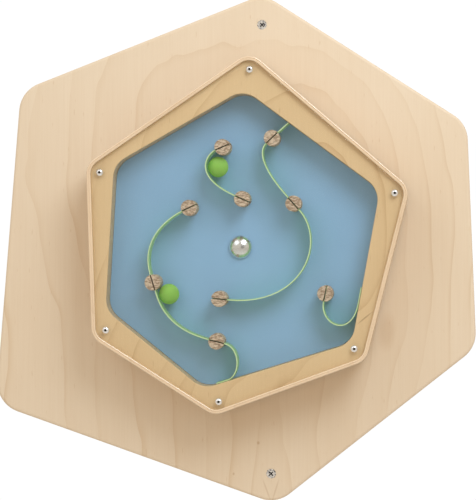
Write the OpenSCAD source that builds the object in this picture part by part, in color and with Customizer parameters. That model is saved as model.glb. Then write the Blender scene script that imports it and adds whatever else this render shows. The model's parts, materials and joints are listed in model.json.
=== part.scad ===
// Marble run for a wall: a six-sided drum that turns on a six-sided wall board.
// X runs to the right, Z runs up, and the wall is the plane Y = 0, with the
// whole run in front of it, towards -Y. The origin is midway between the two
// wall screws. Depths are counted from the wall towards the viewer.

/* [Wall board] */
// Thickness of the wall board
board_t = 18; // [15:1:24]
// Radius of the board's corners
board_corner_r = 33; // [20:1:40]
// Diameter of the wall screws' threads
wall_screw_d = 5; // [4.5:0.5:6]
// How far the wall screws reach into the wall
wall_screw_reach = 30; // [20:5:60]

/* [Drum] */
// Gap between the board and the drum
drum_gap = 5; // [4:0.5:8]
// Thickness of the drum's back plate
plate_t = 18; // [16:1:24]
// Thickness of the coloured floor
floor_t = 2; // [1:0.5:3]
// Depth of the chamber from its floor to the pane
chamber_d = 28; // [26:1:40]
// Thickness of the ring's rear layer
rear_ring_t = 18; // [12:1:18]
// Radius of the drum's outer corners
drum_corner_r = 20; // [12:1:30]
// Radius of the opening's corners
opening_corner_r = 25; // [15:1:30]
// Width of the lip round the pane
lip_w = 4.5; // [3:0.5:6]

/* [Pane] */
// Thickness of the clear pane
pane_t = 4; // [3:0.5:5]
// How far the lip stands in front of the pane
lip_proud = 1.5; // [0:0.5:2]
// Diameter of the pane screws' shanks
pane_screw_d = 4; // [3:0.5:5]

/* [Track] */
// Diameter of the pegs
peg_d = 17; // [14:1:20]
// Gap between a peg's end and the pane
peg_gap = 0.5; // [0.5:0.5:2]
// Thickness of the flexible strips
strip_t = 1.2; // [1:0.1:2]
// Width of the flexible strips
strip_w = 24; // [18:1:24]
// Diameter of the marbles
marble_d = 22; // [18:1:22]

/* [Pivot] */
// Diameter of the pivot bolt
bolt_d = 10; // [8:1:10]
// Diameter of the bolt's domed head
dome_d = 25; // [20:1:28]
// Height of the dome
dome_h = 8; // [6:0.5:10]

/* [Hidden] */
$fn = 64;

// Depths of the drum's layers, from the wall
plate_back = board_t + drum_gap;
plate_front = plate_back + plate_t;
floor_front = plate_front + floor_t;
ring_joint = plate_front + rear_ring_t;
ledge = floor_front + chamber_d;
pane_front = ledge + pane_t;
lip_front = pane_front + lip_proud;

// Sharp corners, clockwise from the top. The board's are [x, z] from the origin,
// the drum's are [x, z] from the pivot.
board_corners = [[-3.5, 278], [217.5, 136], [227.5, -106], [10.5, -278], [-299, -170], [-271, 174]];
drum_corners = [[12.5, 208.5], [182.5, 63], [136, -120.5], [-26, -180], [-157.5, -97], [-163.5, 88.5]];
opening_corners = [[5.5, 168.5], [150.5, 61], [121, -102], [-38.5, -151.5], [-143, -67.5], [-134, 88.5]];
pane_screw_places = [[12, 189.5], [166.5, 57.5], [123.5, -108], [-21, -165], [-142.5, -89], [-149, 80]];

// The pivot, and the upper wall screw: the lower one is opposite it
pivot = [-26.5, 2.5];
wall_screw_place = [-5, 244.5];

// Pegs: place from the pivot, and the heading of the strip in the slot
pegs = [
    [-17.5, 107, -157], [3.5, 51.5, -24], [35.5, 116.5, -137],
    [58.5, 46.5, -48], [-21, -55.5, 174], [-53.5, 42, -155],
    [-92.5, -38, -73], [-24, -101, -14], [92.5, -49.5, -102]
];

// Each peg's slot: play beside the strip, and the wood left under it
slot_play = 0.1;
slot_floor = 1.5;

// Each peg's tenon: diameter, and how deep it goes below the chamber's floor
tenon_d = 10;
tenon_l = 14;

// Marbles, from the pivot
marble_places = [[-23, 86], [-76, -50.5]];

// Wall screws: countersunk head, plain shank inside the board, and point
wall_head_d = 10.5;
wall_shank_d = 3.6;
wall_point_d = 0.6;
wall_point_l = 5;

// Pane screws: button head with a six-sided socket, and the insert each turns in
pane_head_d = 7.6;
pane_head_h = 2.2;
pane_screw_l = 14;
socket_flats = 2.5;
socket_depth = 1.5;
insert_d = 5.6;
insert_l = 8;

// Countersunk screws through the ring from the back, and through the glide ring
ring_screw_d = 4;
ring_screw_l = ledge - plate_back - 3;
ring_head_d = 8;
glide_screw_d = 3.5;
glide_head_d = 7;
glide_screw_reach = 10;

// Play round a screw's shank and head in its hole, and round the pivot bolt
hole_play = 0.5;
glide_hole_play = 0.3;
bolt_play = 0.4;

// Play round the pane inside the lip, and round the floor inside the ring
pane_play = 0.5;
floor_play = 0.3;

// Bearing, 10 x 26 x 8: its rings, their races and the balls in their cage
bearing_bore_r = 5;
bearing_r = 13;
bearing_b = 8;
inner_land_r = 7.35;
outer_land_r = 10.7;
race_r = 9;
groove_r = 2.43;
ball_r = 2.33;
ball_count = 7;
ball_play = 0.15;
cage_inset = 0.8;
cage_half_w = 0.9;
bearing_back = plate_front - bearing_b;

// Shoulder behind the bolt's head, its hole in the floor, and the dome's gap to it
shoulder_r = 7;
shoulder_play = 2;
head_gap = 0.4;

// Nut pocket behind the board
pocket_d = 26;
pocket_h = 11;
washer_t = 2;
washer_d = 21;
nut_flats = 17;
nut_h = 8;

// Glide ring: inner and outer radius, its gap to the drum, and its screws' sink
glide_r = [60, 80];
glide_play = 0.3;
glide_sink = 0.5;

// ---------- outlines ----------

function unit(v) = v / norm(v);
function heading(a) = [cos(a), sin(a)];
function turn_left(v) = [-v[1], v[0]];

// Corner b moved into the outline, so that both its sides move in by d
function inset_corner(a, b, c, d) =
    let (u = unit(a - b), v = unit(c - b), half = acos(u * v) / 2)
    b + unit(u + v) * d / sin(half);

function inset(points, d) =
    let (n = len(points))
    [for (i = [0 : n - 1]) inset_corner(points[(i + n - 1) % n], points[i], points[(i + 1) % n], d)];

// An arc of radius r that touches both sides at corner b
function corner_arc(a, b, c, r, steps) =
    let (
        u = unit(a - b),
        v = unit(c - b),
        half = acos(u * v) / 2,
        centre = b + unit(u + v) * r / sin(half),
        first = b + u * r / tan(half) - centre,
        start = atan2(first[1], first[0]),
        sweep = (180 - 2 * half) * sign(u[1] * v[0] - u[0] * v[1])
    )
    [for (i = [0 : steps]) centre + r * heading(start + sweep * i / steps)];

function rounded(points, r, steps = 10) =
    let (n = len(points))
    [for (i = [0 : n - 1])
        each corner_arc(points[(i + n - 1) % n], points[i], points[(i + 1) % n], r, steps)];

module drum_outline(d = 0) polygon(rounded(inset(drum_corners, d), drum_corner_r - d));
module opening_outline(d = 0) polygon(rounded(inset(opening_corners, d), opening_corner_r - d));

// Draws its children in the front view, standing out from a depth towards the viewer
module at_depth(d, place = [0, 0]) translate([place[0], -d, place[1]]) rotate([90, 0, 0]) children();
module on_drum(d, place = [0, 0]) at_depth(d, pivot + place) children();
module disc(d, h) cylinder(d = d, h = h);

// ---------- wall board ----------

module wall_screw_holes() {
    for (s = [1, -1]) {
        at_depth(-1, s * wall_screw_place) disc(wall_screw_d + hole_play, board_t + 2);
        at_depth(board_t - head_cone_h(wall_screw_d, wall_head_d), s * wall_screw_place)
            head_cone(wall_screw_d + hole_play, wall_head_d + hole_play);
    }
}

// A countersunk head: 45 degrees from the shank out to the head's full width
function head_cone_h(shank_d, head_d) = (head_d - shank_d) / 2;
module head_cone(shank_d, head_d)
    cylinder(d1 = shank_d, d2 = head_d, h = head_cone_h(shank_d, head_d));

// Two crossed slots for the driver, cut into a head of this width down from z = 0
module cross_recess(head_d) {
    size = 0.55 * head_d;
    depth = 0.18 * head_d;
    for (a = [0, 90])
        rotate(a) translate([-size / 2, -size / 10, -depth]) cube([size, size / 5, depth + 1]);
}

module wall_board() color("burlywood") difference() {
    at_depth(0) linear_extrude(board_t) polygon(rounded(board_corners, board_corner_r));
    wall_screw_holes();
    at_depth(-1, pivot) disc(bolt_d + bolt_play, board_t + 2);
    at_depth(-1, pivot) disc(pocket_d, pocket_h + 1);
    for (p = glide_screw_places())
        on_drum(board_t - glide_screw_reach, p) disc(glide_screw_d, board_t);
}

module wall_screws() color("silver")
    for (s = [1, -1])
        difference() {
            cone_h = head_cone_h(wall_shank_d, wall_head_d);
            union() {
                at_depth(-wall_screw_reach, s * wall_screw_place) disc(wall_screw_d, wall_screw_reach);
                at_depth(-wall_screw_reach - wall_point_l, s * wall_screw_place)
                    cylinder(d1 = wall_point_d, d2 = wall_screw_d, h = wall_point_l);
                at_depth(0, s * wall_screw_place) disc(wall_shank_d, board_t - cone_h);
                at_depth(board_t - cone_h, s * wall_screw_place) head_cone(wall_shank_d, wall_head_d);
            }
            at_depth(board_t, s * wall_screw_place) cross_recess(wall_head_d);
        }

// ---------- pivot ----------

function glide_screw_places() = [for (a = [45 : 90 : 315]) (glide_r[0] + glide_r[1]) / 2 * heading(a)];

glide_h = drum_gap - glide_play;
glide_cone_h = head_cone_h(glide_screw_d, glide_head_d);
glide_head_back = board_t + glide_h - glide_sink - glide_cone_h;

module glide_ring() color("ivory") difference() {
    on_drum(board_t) difference() {
        cylinder(r = glide_r[1], h = glide_h);
        translate([0, 0, -1]) cylinder(r = glide_r[0], h = glide_h + 2);
    }
    for (p = glide_screw_places()) {
        on_drum(board_t - 1, p) disc(glide_screw_d + glide_hole_play, glide_h + 2);
        on_drum(glide_head_back, p)
            head_cone(glide_screw_d + glide_hole_play, glide_head_d + glide_hole_play);
        on_drum(glide_head_back + glide_cone_h, p) disc(glide_head_d + glide_hole_play, glide_h);
    }
}

module glide_screws() color("silver")
    for (p = glide_screw_places())
        difference() {
            union() {
                on_drum(glide_head_back, p) head_cone(glide_screw_d, glide_head_d);
                on_drum(board_t - glide_screw_reach, p)
                    disc(glide_screw_d, glide_head_back - board_t + glide_screw_reach);
            }
            on_drum(glide_head_back + glide_cone_h, p) cross_recess(glide_head_d);
        }

module pivot_bolt() color("gainsboro") {
    dome_r = (pow(dome_d / 2, 2) + pow(dome_h, 2)) / (2 * dome_h);
    head_back = floor_front + head_gap;
    union() {
        on_drum(1) disc(bolt_d - 0.04, plate_front - 1);
        on_drum(plate_front) cylinder(r = shoulder_r, h = head_back - plate_front);
        on_drum(head_back) intersection() {
            translate([0, 0, dome_h - dome_r]) sphere(r = dome_r);
            disc(dome_d, dome_h + 1);
        }
    }
}

module tube(r_out, r_in, h) difference() {
    cylinder(r = r_out, h = h);
    translate([0, 0, -1]) cylinder(r = r_in, h = h + 2);
}

module spacer_sleeve() color("darkgray")
    on_drum(board_t) tube(shoulder_r, bearing_bore_r, bearing_back - board_t);

module lock_washer() color("silver")
    on_drum(pocket_h - washer_t) tube(washer_d / 2, bearing_bore_r, washer_t);

module lock_nut() color("silver")
    on_drum(pocket_h - washer_t - nut_h) difference() {
        cylinder(d = nut_flats / cos(30), h = nut_h, $fn = 6);
        translate([0, 0, -1]) cylinder(r = bearing_bore_r, h = nut_h + 2);
    }

// ---------- bearing ----------

module ball_groove() rotate_extrude() translate([race_r, bearing_b / 2]) circle(r = groove_r);

module bearing_inner() color("lightsteelblue")
    on_drum(bearing_back) difference() {
        tube(inner_land_r, bearing_bore_r, bearing_b);
        ball_groove();
    }

module bearing_outer() color("lightsteelblue")
    on_drum(bearing_back) difference() {
        tube(bearing_r, outer_land_r, bearing_b);
        ball_groove();
    }

module at_balls() for (i = [0 : ball_count - 1])
    rotate(i * 360 / ball_count) translate([race_r, 0, bearing_b / 2]) children();

module bearing_balls() color("silver") on_drum(bearing_back) at_balls() sphere(r = ball_r, $fn = 48);

module bearing_cage() color("peru")
    on_drum(bearing_back) difference() {
        translate([0, 0, cage_inset])
            tube(race_r + cage_half_w, race_r - cage_half_w, bearing_b - 2 * cage_inset);
        at_balls() rotate([0, 90, 0])
            cylinder(r = ball_r + ball_play, h = 4 * cage_half_w, center = true);
    }

// ---------- drum ----------

// Screws through the ring stand midway between its edges, in the middle of each side
function side_middle(i) =
    (drum_corners[i] + drum_corners[(i + 1) % 6] + opening_corners[i] + opening_corners[(i + 1) % 6]) / 4;

// A countersunk screw that goes in from the drum's back, towards the viewer
module ring_screw(i) on_drum(plate_back, side_middle(i)) {
    cone_h = head_cone_h(ring_screw_d, ring_head_d);
    disc(ring_screw_d, ring_screw_l);
    translate([0, 0, cone_h]) mirror([0, 0, 1]) head_cone(ring_screw_d, ring_head_d);
}

module ring_screw_holes() for (i = [0 : 5]) ring_screw(i);

module back_plate() color("burlywood") difference() {
    on_drum(plate_back) linear_extrude(plate_t) drum_outline();
    on_drum(plate_back - 1) cylinder(r = bearing_r - 3, h = plate_t + 2);
    on_drum(bearing_back) cylinder(r = bearing_r, h = plate_t);
    ring_screw_holes();
    tenon_holes();
}

module tenon_holes()
    for (p = pegs) on_drum(floor_front - tenon_l, spot(p)) disc(tenon_d, tenon_l + 1);

module floor_panel() color("lightsteelblue") difference() {
    on_drum(plate_front) linear_extrude(floor_t) opening_outline(floor_play);
    on_drum(plate_front - 1) cylinder(r = shoulder_r + shoulder_play, h = floor_t + 2);
    tenon_holes();
}

module rear_ring() color("burlywood") difference() {
    on_drum(plate_front) linear_extrude(rear_ring_t) drum_outline();
    on_drum(plate_front - 1) linear_extrude(rear_ring_t + 2) opening_outline();
    ring_screw_holes();
}

module front_ring() color("burlywood") difference() {
    on_drum(ring_joint) linear_extrude(lip_front - ring_joint) drum_outline();
    on_drum(ring_joint - 1) linear_extrude(lip_front - ring_joint + 2) opening_outline();
    on_drum(ledge) linear_extrude(lip_front - ledge + 1) drum_outline(lip_w);
    ring_screw_holes();
    for (p = pane_screw_places) {
        on_drum(ledge - insert_l, p) disc(insert_d, insert_l + 1);
        on_drum(pane_front - pane_screw_l, p) disc(pane_screw_d + hole_play, pane_screw_l);
    }
}

module ring_screws() color("silver")
    for (i = [0 : 5]) difference() {
        ring_screw(i);
        on_drum(plate_back, side_middle(i)) mirror([0, 0, 1]) cross_recess(ring_head_d);
    }

module window_pane() color("azure", 0.35) difference() {
    on_drum(ledge) linear_extrude(pane_t) drum_outline(lip_w + pane_play);
    for (p = pane_screw_places) on_drum(ledge - 1, p) disc(pane_screw_d + hole_play, pane_t + 2);
}

module screw_inserts() color("goldenrod")
    for (p = pane_screw_places)
        on_drum(ledge - insert_l, p) tube(insert_d / 2, pane_screw_d / 2, insert_l);

// Button head: a low dome with a six-sided socket
module pane_screws() color("gainsboro")
    for (p = pane_screw_places) {
        head_r = (pow(pane_head_d / 2, 2) + pow(pane_head_h, 2)) / (2 * pane_head_h);
        on_drum(pane_front, p) difference() {
            union() {
                translate([0, 0, -pane_screw_l]) disc(pane_screw_d, pane_screw_l);
                intersection() {
                    translate([0, 0, pane_head_h - head_r]) sphere(r = head_r);
                    disc(pane_head_d, pane_head_h + 1);
                }
            }
            translate([0, 0, pane_head_h - socket_depth])
                cylinder(d = socket_flats / cos(30), h = 2 * socket_depth, $fn = 6);
        }
    }

// ---------- pegs and strips ----------

function spot(s) = [s[0], s[1]];

module peg(i) {
    p = spot(pegs[i - 1]);
    slot_w = strip_t + 2 * slot_play;
    color("tan") difference() {
        union() {
            on_drum(floor_front, p) disc(peg_d, chamber_d - peg_gap);
            on_drum(floor_front - tenon_l, p) disc(tenon_d, tenon_l);
        }
        on_drum(floor_front + slot_floor, p) rotate(pegs[i - 1][2])
            translate([-peg_d, -slot_w / 2, 0]) cube([2 * peg_d, slot_w, chamber_d]);
    }
}

// A strip is threaded through stops: [x, z, heading, radius of the peg, pull before
// the stop, pull after it, straight run beyond it at the strip's end]. Between stops
// it springs in one smooth curve.
slot_run = 7;
function at_peg(i, before, after) = concat(pegs[i - 1], [peg_d / 2, before, after, slot_run]);
function at_end(x, z, angle, before, after, run = 0) = [x, z, angle, 0, before, after, run];
function along(s, d) = spot(s) + d * heading(s[2]);

function bezier(a, b, c, d, t) =
    pow(1 - t, 3) * a + 3 * pow(1 - t, 2) * t * b + 3 * (1 - t) * pow(t, 2) * c + pow(t, 3) * d;

function span(s, e, steps = 22) = [for (i = [0 : steps])
    bezier(along(s, s[3]), along(s, s[3] + s[5]), along(e, -e[3] - e[4]), along(e, -e[3]), i / steps)];

// The ends run straight on, inside a peg's slot or along the wall
function strip_path(stops) =
    let (first = stops[0], last = stops[len(stops) - 1])
    concat(
        first[6] > 0 ? [along(first, -first[6])] : [],
        [for (i = [0 : len(stops) - 2]) each span(stops[i], stops[i + 1])],
        last[6] > 0 ? [along(last, last[6])] : []
    );

// Points beside a path, at distance d to its left
function beside(path, d) =
    let (n = len(path))
    [for (i = [0 : n - 1])
        path[i] + d * turn_left(unit(path[min(i + 1, n - 1)] - path[max(i - 1, 0)]))];

function backwards(v) = [for (i = [len(v) - 1 : -1 : 0]) v[i]];

module strip(stops) color("yellowgreen") {
    path = strip_path(stops);
    on_drum(floor_front + slot_floor) linear_extrude(strip_w)
        polygon(concat(beside(path, strip_t / 2), backwards(beside(path, -strip_t / 2))));
}

module strip_a() strip([at_peg(1, 0, 9), at_peg(2, 52, 0)]);
module strip_b() strip([
    at_end(53.2, 132.6, -139, 0, 4), at_peg(3, 4, 9), at_peg(4, 48, 47), at_peg(5, 81, 0)
]);
module strip_c() strip([
    at_peg(6, 0, 9), at_peg(7, 44, 9), at_peg(8, 50, 19), at_end(-12.5, -142.4, -163, 15, 0, 12)
]);
module strip_d() strip([at_peg(9, 0, 25), at_end(127.9, -58.7, 80, 42, 0, 16)]);

// ---------- marbles ----------

module marble(i) color("limegreen")
    on_drum(floor_front + chamber_d / 2, marble_places[i - 1]) sphere(d = marble_d);

wall_board();
wall_screws();
glide_ring();
glide_screws();
pivot_bolt();
spacer_sleeve();
bearing_inner();
lock_washer();
lock_nut();
bearing_cage();
bearing_balls();
bearing_outer();
back_plate();
floor_panel();
rear_ring();
front_ring();
ring_screws();
window_pane();
pane_screws();
screw_inserts();
peg(1);  // peg_1
peg(2);  // peg_2
peg(3);  // peg_3
peg(4);  // peg_4
peg(5);  // peg_5
peg(6);  // peg_6
peg(7);  // peg_7
peg(8);  // peg_8
peg(9);  // peg_9
strip_a();
strip_b();
strip_c();
strip_d();
marble(1);  // marble_1
marble(2);  // marble_2
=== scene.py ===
"""Looks for the wall marble run: rounded plywood, slotted pegs, springy strips,
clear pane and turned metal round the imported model, in metres, with the wall at
Y = 0 and the viewer towards -Y.
"""

import json
import math

import bmesh
import bpy
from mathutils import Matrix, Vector
from mathutils.geometry import tessellate_polygon


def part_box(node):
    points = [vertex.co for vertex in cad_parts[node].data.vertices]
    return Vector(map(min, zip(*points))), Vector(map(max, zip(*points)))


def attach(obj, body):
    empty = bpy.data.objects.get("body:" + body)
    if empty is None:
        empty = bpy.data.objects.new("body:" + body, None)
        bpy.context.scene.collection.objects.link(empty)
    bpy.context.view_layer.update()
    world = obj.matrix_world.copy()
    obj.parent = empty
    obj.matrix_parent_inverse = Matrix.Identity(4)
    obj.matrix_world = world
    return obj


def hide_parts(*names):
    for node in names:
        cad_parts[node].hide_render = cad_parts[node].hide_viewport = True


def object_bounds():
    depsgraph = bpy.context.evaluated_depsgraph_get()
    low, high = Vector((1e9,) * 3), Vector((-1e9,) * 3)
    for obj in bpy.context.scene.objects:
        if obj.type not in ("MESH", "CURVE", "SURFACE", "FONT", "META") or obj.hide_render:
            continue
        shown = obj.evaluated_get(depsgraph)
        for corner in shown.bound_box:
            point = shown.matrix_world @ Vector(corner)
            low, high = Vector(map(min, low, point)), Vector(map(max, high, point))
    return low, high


MM = 0.001

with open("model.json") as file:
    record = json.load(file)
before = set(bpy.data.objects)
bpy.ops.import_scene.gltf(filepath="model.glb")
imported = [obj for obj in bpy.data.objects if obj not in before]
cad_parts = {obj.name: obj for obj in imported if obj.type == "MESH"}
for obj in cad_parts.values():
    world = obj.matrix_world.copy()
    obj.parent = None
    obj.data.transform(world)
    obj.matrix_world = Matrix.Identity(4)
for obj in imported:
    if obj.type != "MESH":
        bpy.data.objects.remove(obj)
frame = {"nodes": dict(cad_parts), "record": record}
bpy.context.scene.view_settings.view_transform = "Standard"
cad_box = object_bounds()
nodes = frame["nodes"]


# Sizes that the pieces share, and the pegs' numbers
SOFT_EDGE = 0.4 * MM
FLOOR_PLAY = 0.3 * MM
PANE_PLAY = 0.5 * MM
SLOT_FLOOR = 1.5 * MM
WALL_HEAD_R = 5.25 * MM
WALL_SHANK_R = 1.8 * MM
BOLT_R = 4.98 * MM
PEGS = range(1, 10)
PLY_T = 1.4 * MM
LAYER_PITCH = 34 * MM


# ---------- outlines read from the frame ----------


def key(co):
    """A corner's place on the face, rounded so that equal corners match."""
    return (round(co[0], 6), round(co[2], 6))


def face_loops(node, depth=None):
    """The boundary loops of a node's flat face at Y = depth, its front by default,
    as lists of (x, z), the longest first. Each runs round its face's material."""
    mesh = nodes[node].data
    front = min(v.co.y for v in mesh.vertices) if depth is None else depth
    edges = set()
    for face in mesh.polygons:
        cos = [mesh.vertices[i].co for i in face.vertices]
        if face.normal.y > -0.9 or any(abs(c.y - front) > 0.02 * MM for c in cos):
            continue
        ks = [key(c) for c in cos]
        for a, b in zip(ks, ks[1:] + ks[:1]):
            if a == b:
                continue
            if (b, a) in edges:
                edges.remove((b, a))
            else:
                edges.add((a, b))
    follow = {a: b for a, b in sorted(edges)}
    loops = []
    while follow:
        start = min(follow)
        loop, k = [start], follow.pop(start)
        while k != start and k in follow:
            loop.append(k)
            k = follow.pop(k)
        loops.append([Vector(p) for p in loop])
    return sorted(loops, key=loop_length, reverse=True)


def loop_length(loop):
    return sum((b - a).length for a, b in zip(loop, loop[1:] + loop[:1]))


def area(loop):
    return sum(a.x * b.y - b.x * a.y for a, b in zip(loop, loop[1:] + loop[:1])) / 2


def inset(loop, d):
    """The loop moved by d into the area it encloses."""
    side = math.copysign(1, area(loop))
    moved = []
    for i, p in enumerate(loop):
        u = (p - loop[i - 1]).normalized()
        v = (loop[(i + 1) % len(loop)] - p).normalized()
        n = Vector((-u.y - v.y, u.x + v.x)) * side
        moved.append(p + n.normalized() * d * 2 / max(n.length, 1) if n.length else p)
    return moved


def centre(node):
    lo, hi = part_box(node)
    return (lo + hi) / 2


def disc_loop(middle, radius, steps=48):
    return [
        Vector((middle.x + radius * math.cos(t), middle.z + radius * math.sin(t)))
        for t in (2 * math.pi * i / steps for i in range(steps))
    ]


# ---------- mesh building ----------


def finish_piece(bm, name, body, material, stands_for=(), angle=35):
    bmesh.ops.remove_doubles(bm, verts=bm.verts, dist=1e-7)
    bmesh.ops.recalc_face_normals(bm, faces=bm.faces)
    mesh = bpy.data.meshes.new(name)
    bm.to_mesh(mesh)
    bm.free()
    for face in mesh.polygons:
        face.use_smooth = True
    mesh.set_sharp_from_angle(angle=math.radians(angle))
    obj = bpy.data.objects.new(name, mesh)
    bpy.context.scene.collection.objects.link(obj)
    for m in material if isinstance(material, list) else [material]:
        mesh.materials.append(m)
    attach(obj, body)
    if stands_for:
        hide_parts(*stands_for)
    return obj


def bridge(bm, a, b, index=0):
    for i in range(len(a)):
        j = (i + 1) % len(a)
        face = bm.faces.new((a[i], a[j], b[j], b[i]))
        face.material_index = index


def cap(bm, rings, index=0):
    """Closes the flat area between an outer ring and the holes in it."""
    flat = [v for ring in rings for v in ring]
    polys = [[Vector((v.co.x, v.co.z, 0)) for v in ring] for ring in rings]
    for tri in tessellate_polygon(polys):
        if len(set(tri)) == 3:
            bm.faces.new([flat[i] for i in tri]).material_index = index


def ring(bm, loop, y):
    return [bm.verts.new((p.x, y, p.y)) for p in loop]


def rounding(r, y, into, steps=5, flat=SOFT_EDGE):
    """Profile points (inset, y) of a quarter-round edge that ends on the face at y,
    and runs on along it by flat. into is +1 where the material lies at larger Y."""
    turn = [math.pi / 2 * i / steps for i in range(steps + 1)]
    arc = [(r * (1 - math.cos(t)), y + into * r * (1 - math.sin(t))) for t in turn]
    return arc + [(r + flat, y)] * (flat > 0)


def slab(bm, outer, holes, indexes=(0, 0, 0)):
    """outer is (loop, profile) and each hole is (loop, profile). A profile runs from
    the back face to the front face as (inset, y). indexes are the material of the
    front face, the sides and the back face."""
    ends = ([], [])
    for loop, profile in [outer] + holes:
        rows = [ring(bm, inset(loop, d), y) for d, y in profile]
        for a, b in zip(rows, rows[1:]):
            bridge(bm, a, b, indexes[1])
        ends[0].append(rows[0])
        ends[1].append(rows[-1])
    cap(bm, ends[0], indexes[2])
    cap(bm, ends[1], indexes[0])


def edge_profile(r, y_back, y_front, r_back=None, flat=SOFT_EDGE):
    back = rounding(r if r_back is None else r_back, y_back, -1, flat=flat)
    return back[::-1] + rounding(r, y_front, 1, flat=flat)


def turned(bm, middle, rings, steps=96, recess=None):
    """A turned solid along Y round middle: rings are (y, radius or function of the
    angle), and both ends are closed. From the ring recess on, its material is the
    piece's second one."""
    rows = []
    for y, radius in rings:
        r = radius if callable(radius) else (lambda t, radius=radius: radius)
        rows.append(
            [
                bm.verts.new((middle.x + r(t) * math.cos(t), y, middle.z + r(t) * math.sin(t)))
                for t in (2 * math.pi * i / steps for i in range(steps))
            ]
        )
    recess = len(rows) if recess is None else recess % len(rows)
    for i, (a, b) in enumerate(zip(rows, rows[1:])):
        bridge(bm, a, b, int(i >= recess))
    for end, index in ((rows[0], 0), (rows[-1], int(len(rows) > recess))):
        tip = bm.verts.new((middle.x, end[0].co.y, middle.z))
        for i in range(steps):
            bm.faces.new((end[i], end[(i + 1) % steps], tip)).material_index = index


def dome_rings(y_base, radius, height, rim=0.0, steps=12):
    """Rings of a shallow dome that rises towards -Y, from its rim to near its top."""
    sphere = (radius**2 + height**2) / (2 * height)
    rows = [(y_base, radius), (y_base - rim, radius)][: 1 + (rim > 0)]
    for i in range(steps):
        h = height * math.sin(math.pi / 2 * (i + 1) / (steps + 1))
        rows.append((y_base - rim - h, math.sqrt(max(sphere**2 - (sphere - height + h) ** 2, 0))))
    return rows


# ---------- materials ----------


class Shader:
    """A material's node tree, with short calls for the nodes that it is made from."""

    def __init__(self, name):
        self.mat = bpy.data.materials.new(name)
        self.mat.use_nodes = True
        self.tree = self.mat.node_tree
        self.bsdf = self.tree.nodes["Principled BSDF"]
        self.coords = self.node("ShaderNodeTexCoord").outputs["Object"]

    def node(self, kind, **values):
        n = self.tree.nodes.new(kind)
        for k, v in values.items():
            setattr(n, k, v)
        return n

    def put(self, socket, value):
        if isinstance(value, bpy.types.NodeSocket):
            self.tree.links.new(value, socket)
        else:
            socket.default_value = value

    def maths(self, op, a, b=0.0, c=0.0):
        n = self.node("ShaderNodeMath", operation=op)
        for socket, value in zip(n.inputs, (a, b, c)):
            self.put(socket, value)
        return n.outputs[0]

    def scaled(self, scale, turn=0.0):
        n = self.node("ShaderNodeMapping")
        self.put(n.inputs["Vector"], self.coords)
        n.inputs["Scale"].default_value = scale
        n.inputs["Rotation"].default_value = (0, turn, 0)
        return n.outputs[0]

    def noise(self, vector, scale=1.0, detail=2.0, rough=0.5):
        n = self.node("ShaderNodeTexNoise")
        self.put(n.inputs["Vector"], vector)
        n.inputs["Scale"].default_value = scale
        n.inputs["Detail"].default_value = detail
        n.inputs["Roughness"].default_value = rough
        return n.outputs["Fac"]

    def ramp(self, value, stops):
        n = self.node("ShaderNodeMapRange", clamp=True)
        self.put(n.inputs["Value"], value)
        for name, v in zip(("From Min", "From Max", "To Min", "To Max"), stops):
            n.inputs[name].default_value = v
        return n.outputs["Result"]

    def mix(self, factor, a, b):
        n = self.node("ShaderNodeMix", data_type="RGBA")
        self.put(n.inputs[0], factor)
        self.put(n.inputs[6], a)
        self.put(n.inputs[7], b)
        return n.outputs[2]

    def split(self, vector):
        n = self.node("ShaderNodeSeparateXYZ")
        self.put(n.inputs[0], vector)
        return n.outputs

    def bump(self, height, strength, distance=0.1 * MM):
        n = self.node("ShaderNodeBump")
        n.inputs["Strength"].default_value = strength
        n.inputs["Distance"].default_value = distance
        self.put(n.inputs["Height"], height)
        self.put(self.bsdf.inputs["Normal"], n.outputs[0])

    def set(self, **values):
        for name, value in values.items():
            self.put(self.bsdf.inputs[name.replace("_", " ")], value)


def srgb(*display):
    """A display colour, 0 to 255, as the linear colour that shaders take."""
    linear = [c / 255 / 12.92 if c <= 10 else ((c / 255 + 0.055) / 1.055) ** 2.4 for c in display]
    return (*linear, 1.0)


def growth(s, pitch, arch, turn=0.0):
    """Height of the veneer's growth layers, one unit to a layer. Their level lines
    run up the sheet, close in an arch over it, and slow noise bends them."""
    x, _, z = s.split(s.scaled((1, 1, 1), turn=turn))
    up = s.maths("MULTIPLY", s.maths("MAXIMUM", z, 0.0), arch)
    spread = s.maths("SQRT", s.maths("MULTIPLY_ADD", x, x, s.maths("MULTIPLY", up, up)))
    slow = s.noise(s.scaled((5, 1, 2.2), turn=turn), detail=0.0)
    wavy = s.noise(s.scaled((24, 1, 9), turn=turn), detail=1.5, rough=0.4)
    height = s.maths("MULTIPLY_ADD", slow, 5.0, s.maths("DIVIDE", spread, pitch))
    return s.maths("MULTIPLY_ADD", wavy, 0.9, height)


def spot(s, x, z, rx, rz, turn=0.0):
    """1 in the middle of an oval spot at (x, z), fading to 0 at its edge."""
    place = s.node("ShaderNodeMapping", vector_type="TEXTURE")
    s.put(place.inputs["Vector"], s.coords)
    place.inputs["Location"].default_value = (x, 0, z)
    place.inputs["Rotation"].default_value = (0, turn, 0)
    place.inputs["Scale"].default_value = (rx, 1000, rz)
    far = s.node("ShaderNodeVectorMath", operation="LENGTH")
    s.put(far.inputs[0], place.outputs[0])
    return s.ramp(far.outputs["Value"], (0.4, 1.0, 1.0, 0.0))


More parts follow.
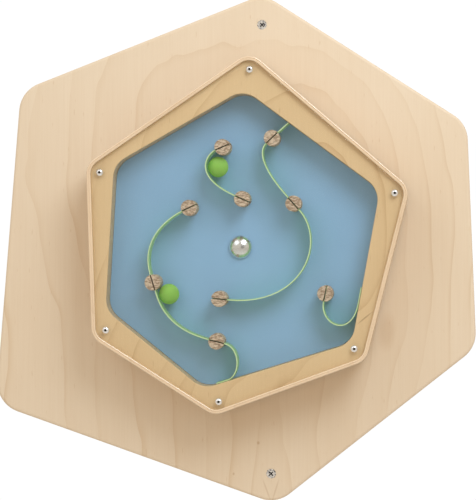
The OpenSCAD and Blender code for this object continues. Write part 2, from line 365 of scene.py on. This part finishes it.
def plywood(name, face, line, lines, arch=0.6, turn=0.0, coat=0.0, spots=(), foot_shade=0.0):
    """Lacquered birch plywood: growth lines and flecks on the faces, stacked plies on
    the edges. lines is how strong the growth lines are, spots are
    (x, z, rx, rz, turn, strength), and the last argument is painted shade: how much
    browner and darker the foot is than the top, for the light falling off downwards."""
    s = Shader(name)
    edge_light, edge_dark = srgb(234, 208, 170), srgb(190, 154, 112)
    fibre = s.noise(s.scaled((700, 700, 14), turn=turn), detail=3, rough=0.6)
    cloud = s.noise(s.scaled((9, 9, 4)), detail=2)
    layer = s.maths("FRACT", growth(s, LAYER_PITCH, arch, turn))
    fade = s.ramp(s.noise(s.scaled((16, 16, 6)), detail=1), (0.38, 0.62, 0.2, 1.0))
    fade = s.maths("MULTIPLY", fade, s.ramp(s.split(s.coords)[2], (0.0, 0.2, 1.0, 0.5)))
    late = s.maths("POWER", s.ramp(layer, (0.82, 0.99, 0.0, 1.0)), 1.6)
    tone = s.mix(s.ramp(fibre, (0.35, 0.75, 0.0, 0.1)), face, line)
    tone = s.mix(s.ramp(cloud, (0.3, 0.75, 0.0, 0.16)), tone, line)
    tone = s.mix(s.ramp(layer, (0.1, 0.95, 0.0, 0.08)), tone, line)
    tone = s.mix(s.maths("MULTIPLY", s.maths("MULTIPLY", late, fade), lines), tone, line)
    # Painted shade: the face turns browner and darker towards the foot, for the light falling off
    # from above
    tone = s.mix(s.ramp(s.split(s.coords)[2], (-0.25, 0.2, foot_shade, 0.0)), tone, line)
    fleck = s.noise(s.scaled((420, 1, 70), turn=turn), detail=1)
    tone = s.mix(s.ramp(fleck, (0.7, 0.78, 0.0, 0.35)), tone, line)
    for x, z, rx, rz, tilt, strength in spots:
        tone = s.mix(s.maths("MULTIPLY", spot(s, x, z, rx, rz, tilt), strength), tone, edge_dark)
    y = s.split(s.coords)[1]
    stack = s.maths("FRACT", s.maths("DIVIDE", y, 2 * PLY_T))
    banded = s.mix(s.ramp(stack, (0.48, 0.52, 0.0, 1.0)), edge_light, edge_dark)
    pores = s.noise(s.scaled((300, 60, 300)), detail=2)
    banded = s.mix(s.ramp(pores, (0.4, 0.8, 0.0, 0.4)), banded, edge_dark)
    facing = s.maths("ABSOLUTE", s.split(s.node("ShaderNodeNewGeometry").outputs["Normal"])[1])
    s.set(
        Base_Color=s.mix(s.ramp(facing, (0.3, 0.5, 0.0, 1.0)), banded, tone),
        Roughness=s.ramp(fibre, (0.3, 0.8, 0.45, 0.6)),
    )
    s.bsdf.inputs["Specular IOR Level"].default_value = 0.15
    s.bsdf.inputs["Coat Weight"].default_value = coat
    s.bsdf.inputs["Coat Roughness"].default_value = 0.12
    s.bsdf.inputs["Coat IOR"].default_value = 1.8
    s.bump(fibre, 0.1)
    return s.mat


def beech(turn):
    """Sawn end grain of the pegs: wavy streaks with pores between them."""
    s = Shader("beech_end")
    streak = s.noise(s.scaled((260, 260, 900), turn=turn), detail=3, rough=0.6)
    pores = s.noise(s.coords, scale=1500, detail=1)
    tone = s.mix(s.ramp(streak, (0.42, 0.58, 0.0, 1.0)), srgb(226, 204, 176), srgb(160, 132, 106))
    tone = s.mix(s.ramp(pores, (0.6, 0.72, 0.0, 0.6)), tone, srgb(100, 76, 56))
    s.set(Base_Color=tone, Roughness=s.ramp(streak, (0.3, 0.7, 0.6, 0.8)))
    s.bump(streak, 0.25)
    return s.mat


def smooth_plastic(name, colour, shade, roughness, scale=400, bump=0.05, mottle=0.35, **constants):
    s = Shader(name)
    grainy = s.noise(s.coords, scale=scale, detail=3, rough=0.6)
    cloud = s.noise(s.coords, scale=20, detail=1)
    tone = s.mix(s.ramp(cloud, (0.3, 0.7, 0.0, mottle)), colour, shade)
    tone = s.mix(s.ramp(grainy, (0.55, 0.8, 0.0, mottle)), tone, shade)
    s.set(Base_Color=tone, Roughness=s.ramp(grainy, (0.3, 0.7, roughness * 0.85, roughness)))
    for socket, value in constants.items():
        s.bsdf.inputs[socket.replace("_", " ")].default_value = value
    s.bump(grainy, bump)
    return s.mat


def metal(name, colour, shade, rough, scale=900, mottle=0.3, bump=0.1, crisp=0.4):
    """Ground or plated metal. crisp is the width of the step from one tone to the other."""
    s = Shader(name)
    streak = s.noise(s.coords, scale=scale, detail=3, rough=0.6)
    step = (0.55 - crisp / 2, 0.55 + crisp / 2, 0.0, mottle)
    s.set(
        Base_Color=s.mix(s.ramp(streak, step), colour, shade),
        Metallic=1.0,
        Roughness=s.ramp(streak, (0.3, 0.7, rough * 0.7, rough * 1.3)),
    )
    s.bump(streak, bump, 0.02 * MM)
    return s.mat


def strip_plastic(name, colour, shade, passes):
    """Thin flexible plastic. passes is the share of the light that goes through it."""
    s = Shader(name)
    cloud = s.noise(s.coords, scale=60, detail=2)
    s.set(
        Base_Color=s.mix(s.ramp(cloud, (0.3, 0.7, 0.0, 0.4)), colour, shade),
        Roughness=s.ramp(cloud, (0.3, 0.7, 0.3, 0.4)),
    )
    s.bump(cloud, 0.05)
    through = s.node("ShaderNodeBsdfTranslucent")
    s.put(through.inputs["Color"], s.mix(cloud, srgb(222, 250, 218), srgb(205, 246, 210)))
    both = s.node("ShaderNodeMixShader")
    both.inputs[0].default_value = passes
    s.tree.links.new(s.bsdf.outputs[0], both.inputs[1])
    s.tree.links.new(through.outputs[0], both.inputs[2])
    s.tree.links.new(both.outputs[0], s.tree.nodes["Material Output"].inputs["Surface"])
    return s.mat


def marble_plastic():
    """Matt green with light scattered just under the skin, and a few rub marks."""
    s = Shader("green_marble")
    cloud = s.noise(s.coords, scale=90, detail=2)
    rubbed = s.noise(s.scaled((1, 1, 6)), scale=400, detail=3)
    tone = s.mix(s.ramp(cloud, (0.3, 0.7, 0.0, 0.5)), srgb(154, 205, 92), srgb(142, 196, 84))
    s.set(
        Base_Color=s.mix(s.ramp(rubbed, (0.62, 0.75, 0.0, 0.3)), tone, srgb(168, 214, 114)),
        Roughness=s.ramp(rubbed, (0.3, 0.7, 0.55, 0.7)),
    )
    s.bsdf.inputs["Subsurface Weight"].default_value = 0.7
    s.bsdf.inputs["Subsurface Radius"].default_value = (0.6, 1.0, 0.4)
    s.bsdf.inputs["Subsurface Scale"].default_value = 8 * MM
    s.bsdf.inputs["Specular IOR Level"].default_value = 0.3
    s.bump(rubbed, 0.05)
    return s.mat


def acrylic():
    """A clear sheet: see-through, with the faint mirror of its polished faces."""
    s = Shader("clear_sheet")
    haze = s.noise(s.coords, scale=12, detail=2)
    clear = s.node("ShaderNodeBsdfTransparent")
    clear.inputs["Color"].default_value = (0.965, 0.97, 0.968, 1)
    both = s.node("ShaderNodeMixShader")
    fresnel = s.node("ShaderNodeFresnel")
    fresnel.inputs["IOR"].default_value = 1.45
    leaving = s.node("ShaderNodeNewGeometry").outputs["Backfacing"]
    s.put(both.inputs[0], s.maths("MULTIPLY", fresnel.outputs[0], s.maths("SUBTRACT", 1.0, leaving)))
    gloss = s.node("ShaderNodeBsdfGlossy")
    gloss.inputs["Color"].default_value = (0.95, 0.96, 0.96, 1)
    s.put(gloss.inputs["Roughness"], s.ramp(haze, (0.3, 0.7, 0.02, 0.05)))
    s.tree.links.new(clear.outputs[0], both.inputs[1])
    s.tree.links.new(gloss.outputs[0], both.inputs[2])
    s.tree.links.new(both.outputs[0], s.tree.nodes["Material Output"].inputs["Surface"])
    s.tree.nodes.remove(s.bsdf)
    return s.mat


BIRCH, BIRCH_LINE = srgb(238, 220, 194), srgb(206, 172, 128)
BOARD_SPOTS = (
    (-0.009, -0.211, 2 * MM, 2.4 * MM, 0.0, 0.55),
    (-0.036, -0.245, 1.5 * MM, 2 * MM, 0.0, 0.5),
    (0.131, -0.09, 11 * MM, 24 * MM, 0.1, 0.22),
    (0.01, -0.262, 1.2 * MM, 15 * MM, 0.3, 0.3),
    (0.0, -0.262, 1.2 * MM, 15 * MM, -0.35, 0.3),
)
BOARD_PLY = plywood("board_ply", BIRCH, BIRCH_LINE, 0.34, spots=BOARD_SPOTS, foot_shade=0.12)
RING_PLY = plywood("ring_ply", srgb(240, 216, 180), srgb(204, 170, 128), 0.35, turn=0.3)
LIP_PLY = plywood("lip_ply", srgb(240, 214, 180), srgb(208, 174, 132), 0.3, turn=0.3, coat=1.0)
LEDGE_SPOTS = (
    (0.108, -0.073, 12 * MM, 1 * MM, -0.69, 0.8),
    (0.07, 0.1, 10 * MM, 1.5 * MM, 0.5, 0.35),
)
# The ledge's plywood is darker and yellower than the ring's: the darkening is painted shade from the
# lip and the pane over it, and the yellower tone is its own
LEDGE, LEDGE_LINE = srgb(238, 207, 160), srgb(200, 158, 108)
LEDGE_PLY = plywood("ledge_ply", LEDGE, LEDGE_LINE, 0.6, 0.6, -0.5, spots=LEDGE_SPOTS)
BEECH = [beech(turn) for turn in (0.1, 0.9, -0.6)]
LAMINATE = smooth_plastic("blue_laminate", srgb(150, 192, 227), srgb(138, 180, 214), 0.6, mottle=0.3)
STRIP = strip_plastic("strip_side", srgb(216, 238, 184), srgb(200, 230, 164), 0.6)
STRIP_EDGE = strip_plastic("strip_edge", srgb(226, 246, 190), srgb(214, 238, 170), 0.1)
MARBLE = marble_plastic()
CLEAR = acrylic()
STEEL = metal("polished_steel", (0.88, 0.88, 0.86, 1), (0.74, 0.74, 0.72, 1), 0.2)
ZINC = metal("zinc_steel", (0.5, 0.5, 0.5, 1), (0.16, 0.16, 0.17, 1), 0.3, mottle=0.9)
SCREW = metal("screw_steel", (0.93, 0.93, 0.92, 1), (0.75, 0.75, 0.75, 1), 0.24)
SPECKLED = metal(
    "speckled_zinc", (0.95, 0.95, 0.93, 1), (0.05, 0.05, 0.08, 1), 0.25,
    scale=800, mottle=1.0, bump=0.4, crisp=0.08,
)
# Painted shade: a near-black for the insides of the screws' hex sockets and cross recesses, where
# shade falls
PAINTED_SOCKET_SHADE = metal("socket_shade", (0.05, 0.05, 0.05, 1), (0.02, 0.02, 0.02, 1), 0.6)
GROUND = metal("ground_steel", (0.6, 0.61, 0.63, 1), (0.45, 0.46, 0.48, 1), 0.2)
BRASS = metal("brass", (0.75, 0.55, 0.25, 1), (0.55, 0.38, 0.15, 1), 0.25)
GLIDE = smooth_plastic("glide_plastic", srgb(232, 228, 214), srgb(214, 208, 190), 0.4)
CAGE = smooth_plastic("cage_plastic", srgb(140, 96, 62), srgb(120, 80, 50), 0.5)

SLOT_LOOKS = {
    "birch_ply": RING_PLY, "beech": BEECH[0], "blue_laminate": LAMINATE, "clear_acrylic": CLEAR,
    "green_strip": STRIP, "green_marble": MARBLE, "polished_steel": STEEL, "zinc_steel": ZINC,
    "bearing_steel": GROUND, "brass": BRASS, "glide_plastic": GLIDE, "cage_plastic": CAGE,
}
for part in frame["record"]["subparts"]:
    cad_mesh = nodes[part["node"]].data
    cad_mesh.materials.clear()
    cad_mesh.materials.append(SLOT_LOOKS[part["material_slot"]])


# ---------- plywood ----------

pivot = centre("pivot_bolt")
board_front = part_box("wall_board")[0].y
plate_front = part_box("back_plate")[0].y
floor_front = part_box("floor_panel")[0].y
ring_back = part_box("front_ring")[1].y
lip_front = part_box("front_ring")[0].y
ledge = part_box("window_pane")[1].y
pane_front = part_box("window_pane")[0].y


def wall_screw_places():
    """The axes of the upper and the lower wall screw."""
    lo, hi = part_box("wall_screws")
    upper = Vector((lo.x + WALL_HEAD_R, 0, hi.z - WALL_HEAD_R))
    lower = Vector((hi.x - WALL_HEAD_R, 0, lo.z + WALL_HEAD_R))
    return upper, lower


def hole_rings(middle, profile):
    """A round hole as (loop, profile): profile is (radius, y) from the back to the front."""
    widest = max(r for r, _ in profile)
    return disc_loop(middle, widest), [(widest - r, y) for r, y in profile]


def wall_board():
    bm = bmesh.new()
    outline = face_loops("wall_board")[0]
    bore, sink = 2.75 * MM, 5.5 * MM
    screw_hole = [(bore, 0), (bore, board_front + sink - bore), (sink, board_front)]
    pocket_r, pocket_floor, bolt_hole = 13 * MM, -11 * MM, 5.2 * MM
    nut_pocket = [(pocket_r, 0), (pocket_r, pocket_floor)]
    nut_pocket += [(bolt_hole, pocket_floor), (bolt_hole, board_front)]
    holes = [hole_rings(place, screw_hole) for place in wall_screw_places()]
    holes.append(hole_rings(pivot, nut_pocket))
    slab(bm, (outline, edge_profile(3 * MM, 0, board_front, 1 * MM)), holes)
    finish_piece(bm, "board", "wall_mount", BOARD_PLY, ["wall_board"])


def front_ring():
    bm = bmesh.new()
    outline = face_loops("front_ring")[0]
    lip_inner = inset(face_loops("window_pane")[0], -PANE_PLAY)
    opening = inset(face_loops("floor_panel")[0], -FLOOR_PLAY)
    # The lip is two beads with a shallow groove between them
    groove = lip_front + 0.5 * MM
    bead = rounding(1.3 * MM, lip_front, 1, 6, 0.2 * MM)
    lip = bead + [(1.9 * MM, groove), (2.1 * MM, groove)]
    hole = rounding(0.8 * MM, ledge, 1, 4, 0.3 * MM)
    outer_rows = [ring(bm, outline, ring_back)]
    outer_rows += [ring(bm, inset(outline, d), y) for d, y in lip]
    lip_rows = [ring(bm, inset(lip_inner, -d), y) for d, y in lip][::-1]
    lip_rows.append(ring(bm, lip_inner, ledge))
    hole_rows = [ring(bm, inset(opening, -d), y) for d, y in hole][::-1]
    hole_rows.append(ring(bm, opening, ring_back))
    bridge(bm, outer_rows[0], outer_rows[1], 2)
    bands = ((outer_rows[1:], 0), (lip_rows, 0), (hole_rows[:-1], 1), (hole_rows[-2:], 2))
    for rows, index in bands:
        for a, b in zip(rows, rows[1:]):
            bridge(bm, a, b, index)
    cap(bm, [outer_rows[-1], lip_rows[0]])
    cap(bm, [lip_rows[-1], hole_rows[0]], 1)
    cap(bm, [outer_rows[0], hole_rows[-1]], 2)
    looks = [LIP_PLY, LEDGE_PLY, RING_PLY]
    finish_piece(bm, "ring_front", "drum", looks, ["front_ring"])


def window_pane():
    bm = bmesh.new()
    loops = face_loops("window_pane")
    # Its back stays just clear of the ledge, so the two faces don't coincide
    back = ledge - 0.1 * MM
    holes = [(loop, [(0, back), (0, pane_front)]) for loop in loops[1:]]
    slab(bm, (loops[0], edge_profile(SOFT_EDGE, back, pane_front)), holes)
    finish_piece(bm, "pane", "drum", CLEAR, ["window_pane"])


def peg(i):
    """A slotted peg: two half rounds on a solid foot below the chamber's floor."""
    node = "peg_%d" % i
    bm = bmesh.new()
    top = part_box(node)[0].y
    slot_floor = floor_front - SLOT_FLOOR
    for half in face_loops(node):
        slab(bm, (half, [(0, slot_floor)] + rounding(0.25 * MM, top, 1, 3, 0.2 * MM)), [])
    middle = centre(node)
    radius = (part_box(node)[1].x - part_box(node)[0].x) / 2
    turned(bm, middle, [(floor_front, radius), (slot_floor, radius)])
    finish_piece(bm, "slotted_peg_%d" % i, "drum", BEECH[i % 3], [node])


def two_sides(loop):
    """A strip's outline as its two long sides, point beside point."""
    n = len(loop)

    def width(k):
        return sum((loop[i] - loop[(k - i) % n]).length for i in range(n))

    first = min(range(1, n, 2), key=width) // 2
    side = [loop[(first - i) % n] for i in range(n // 2)]
    return side, [loop[(first + 1 + i) % n] for i in range(n // 2)]


def strip(letter):
    """A strip on edge, notched back where it runs through a peg's slot."""
    node = "strip_" + letter
    bm = bmesh.new()
    lo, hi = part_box(node)
    left, right = two_sides(face_loops(node)[0])
    pegs = [centre("peg_%d" % i) for i in PEGS]
    reach, notch, soft = 8 * MM, 9 * MM, 0.12 * MM

    def in_peg(i):
        middle = (left[i] + left[i + 1]) / 2
        return any(math.hypot(middle.x - p.x, middle.y - p.z) < reach for p in pegs)

    start = 0
    for i in range(len(left) - 1):
        if i == len(left) - 2 or in_peg(i + 1) != in_peg(start):
            outline = left[start : i + 2] + right[start : i + 2][::-1]
            front = lo.y + notch * in_peg(start)
            slab(bm, (outline, edge_profile(soft, hi.y, front, flat=0.0)), [], (1, 0, 0))
            start = i + 1
    looks = [STRIP, STRIP_EDGE]
    finish_piece(bm, "springy_strip_" + letter, "drum", looks, [node])


def pivot_bolt():
    bm = bmesh.new()
    lo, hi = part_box("pivot_bolt")
    radius = (hi.x - lo.x) / 2
    height, rim, collar, chamfer = 8 * MM, 1.2 * MM, 7 * MM, 1 * MM
    base = lo.y + height
    rings = [(hi.y, 4 * MM), (hi.y - chamfer, BOLT_R), (plate_front, BOLT_R), (plate_front, collar)]
    rings += [(base, collar), (base, radius - SOFT_EDGE)]
    rings += dome_rings(base - SOFT_EDGE, radius, height - rim - SOFT_EDGE, rim=rim, steps=16)
    turned(bm, pivot, rings)
    finish_piece(bm, "domed_bolt", "wall_mount", STEEL, ["pivot_bolt"])


def hexagon(flat):
    """The outline of a six-sided socket, flat across its flats."""
    return lambda t: flat / 2 / math.cos((t % (math.pi / 3)) - math.pi / 6)


def cross(reach, half):
    """The outline of a cross-head recess, turned by an eighth of a turn."""

    def radius(t):
        c, s = abs(math.cos(t + math.pi / 4)) + 1e-9, abs(math.sin(t + math.pi / 4)) + 1e-9
        return max(min(reach / c, half / s), min(half / c, reach / s))

    return radius


def pane_screws():
    shank, head, height = 2 * MM, 3.8 * MM, 2.2 * MM
    socket, depth, flat_top, foot = 2.5 * MM, 1.5 * MM, 1.6 * MM, 0.25 * MM
    tip = pane_front + 14 * MM
    for i, loop in enumerate(face_loops("window_pane")[1:]):
        bm = bmesh.new()
        p = sum(loop, Vector((0, 0))) / len(loop)
        middle = Vector((p.x, 0, p.y))
        rings = [(tip, 1.6 * MM), (tip - 0.5 * MM, shank), (pane_front, shank)]
        rings += [(pane_front, head - 0.15 * MM)]
        dome = dome_rings(pane_front - foot, head, height - foot)
        rings += [r for r in dome if r[1] > flat_top + 0.05 * MM]
        top = rings[-1][0]
        rings += [(top, flat_top), (top, hexagon(socket)), (top + depth, hexagon(socket))]
        turned(bm, middle, rings, recess=-2)
        stands = ["pane_screws"] if i == 0 else ()
        finish_piece(bm, "button_screw_%d" % (i + 1), "drum", [SCREW, PAINTED_SOCKET_SHADE], stands, 30)


def wall_screws():
    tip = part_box("wall_screws")[1].y
    front, land, thread = board_front, 0.15 * MM, 2.5 * MM
    neck = front + land + 3.3 * MM
    for i, place in enumerate(wall_screw_places()):
        bm = bmesh.new()
        rings = [(tip, 0.3 * MM), (tip - 5 * MM, thread), (0.0, thread), (0.0, WALL_SHANK_R)]
        rings += [(neck, WALL_SHANK_R), (front + land, WALL_HEAD_R), (front, WALL_HEAD_R - 0.1 * MM)]
        rings += [(front, cross(2.9 * MM, 0.6 * MM)), (front + 1.6 * MM, cross(2.0 * MM, 0.4 * MM))]
        turned(bm, place, rings, 144, recess=-2)
        stands = ["wall_screws"] if i == 0 else ()
        looks = [SPECKLED, PAINTED_SOCKET_SHADE]
        finish_piece(bm, "wall_screw_%d" % (i + 1), "wall_mount", looks, stands, 30)


wall_board()
front_ring()
window_pane()
for number in PEGS:
    peg(number)
for letter in "abcd":
    strip(letter)
pivot_bolt()
pane_screws()
wall_screws()


# ---------- floor, light and camera ----------


def studio_floor():
    bm = bmesh.new()
    drop, half_width = 0.9, 6
    bmesh.ops.create_grid(bm, x_segments=8, y_segments=8, size=half_width)
    for v in bm.verts:
        v.co.z = cad_box[0][2] - drop
    mesh = bpy.data.meshes.new("studio_floor")
    bm.to_mesh(mesh)
    bm.free()
    obj = bpy.data.objects.new("studio_floor", mesh)
    bpy.context.scene.collection.objects.link(obj)
    paper, shade = (0.9, 0.9, 0.9, 1), (0.87, 0.87, 0.87, 1)
    mesh.materials.append(smooth_plastic("studio_paper", paper, shade, 0.9, 5))


def white_room(fill, backdrop):
    """Fill light all round but for one darker band, and a brighter white that only
    the camera sees."""
    world = bpy.data.worlds.new("white_room")
    bpy.context.scene.world = world
    world.use_nodes = True
    tree = world.node_tree
    tree.nodes.clear()
    out = tree.nodes.new("ShaderNodeOutputWorld")
    seen, lit = (tree.nodes.new("ShaderNodeBackground") for _ in range(2))
    seen.inputs["Strength"].default_value = backdrop
    lit.inputs["Color"].default_value = (1.0, 0.9, 0.78, 1)
    seen.inputs["Color"].default_value = (1, 1, 1, 1)
    # The photographer's place: a darker band beside the lens, seen in polished metal
    coords = tree.nodes.new("ShaderNodeTexCoord")
    apart = tree.nodes.new("ShaderNodeSeparateXYZ")
    tree.links.new(coords.outputs["Generated"], apart.inputs[0])
    borders = (
        (0, (0.0, 0.1, 1, 0)),
        (0, (0.4, 0.6, 0, 1)),
        (2, (0.1, 0.35, 0, 1)),
        (1, (-0.4, -0.2, 0, 1)),
    )
    shade = None
    for axis, stops in borders:
        edge = tree.nodes.new("ShaderNodeMapRange")
        tree.links.new(apart.outputs[axis], edge.inputs["Value"])
        for name, v in zip(("From Min", "From Max", "To Min", "To Max"), stops):
            edge.inputs[name].default_value = v
        if shade is None:
            shade = edge.outputs[0]
            continue
        most = tree.nodes.new("ShaderNodeMath")
        most.operation = "MAXIMUM"
        tree.links.new(shade, most.inputs[0])
        tree.links.new(edge.outputs[0], most.inputs[1])
        shade = most.outputs[0]
    level = tree.nodes.new("ShaderNodeMapRange")
    tree.links.new(shade, level.inputs["Value"])
    level.inputs["To Min"].default_value = fill * 0.4
    level.inputs["To Max"].default_value = fill
    tree.links.new(level.outputs[0], lit.inputs["Strength"])
    path = tree.nodes.new("ShaderNodeLightPath")
    mix = tree.nodes.new("ShaderNodeMixShader")
    tree.links.new(path.outputs["Is Camera Ray"], mix.inputs[0])
    tree.links.new(lit.outputs[0], mix.inputs[1])
    tree.links.new(seen.outputs[0], mix.inputs[2])
    tree.links.new(mix.outputs[0], out.inputs[0])


def soft_box(name, aim, towards, distance, size, watts, colour):
    lamp = bpy.data.lights.new(name, "AREA")
    lamp.shape = "DISK"
    lamp.size = size
    lamp.energy = watts
    lamp.color = colour
    obj = bpy.data.objects.new(name, lamp)
    bpy.context.scene.collection.objects.link(obj)
    direction = Vector(towards).normalized()
    obj.location = aim + direction * distance
    obj.rotation_euler = direction.to_track_quat("Z", "Y").to_euler()


def camera(aim, azimuth, elevation, distance, lens):
    cam = bpy.data.cameras.new("camera")
    cam.lens = lens
    cam.sensor_width = 36
    cam.clip_end = 20
    obj = bpy.data.objects.new("camera", cam)
    bpy.context.scene.collection.objects.link(obj)
    a, e = math.radians(azimuth), math.radians(elevation)
    towards = Vector((math.sin(a) * math.cos(e), -math.cos(a) * math.cos(e), math.sin(e)))
    obj.location = aim + towards * distance
    obj.rotation_euler = towards.to_track_quat("Z", "Y").to_euler()
    bpy.context.scene.camera = obj


# The point of the board that the camera looks at, a little left of the origin
aim = Vector((-0.0312, board_front, -0.0008))
studio_floor()
white_room(0.71, 1.02)
soft_box("key", aim, (0.4, -0.66, 0.635), 1.7, 1.0, 13.2, (0.88, 0.985, 1.1))
soft_box("second", aim, (-0.5, -0.66, 0.56), 1.7, 1.1, 2.8, (0.88, 0.98, 1.12))
camera(aim, 4.52, 0.25, 2.508, 165.6)
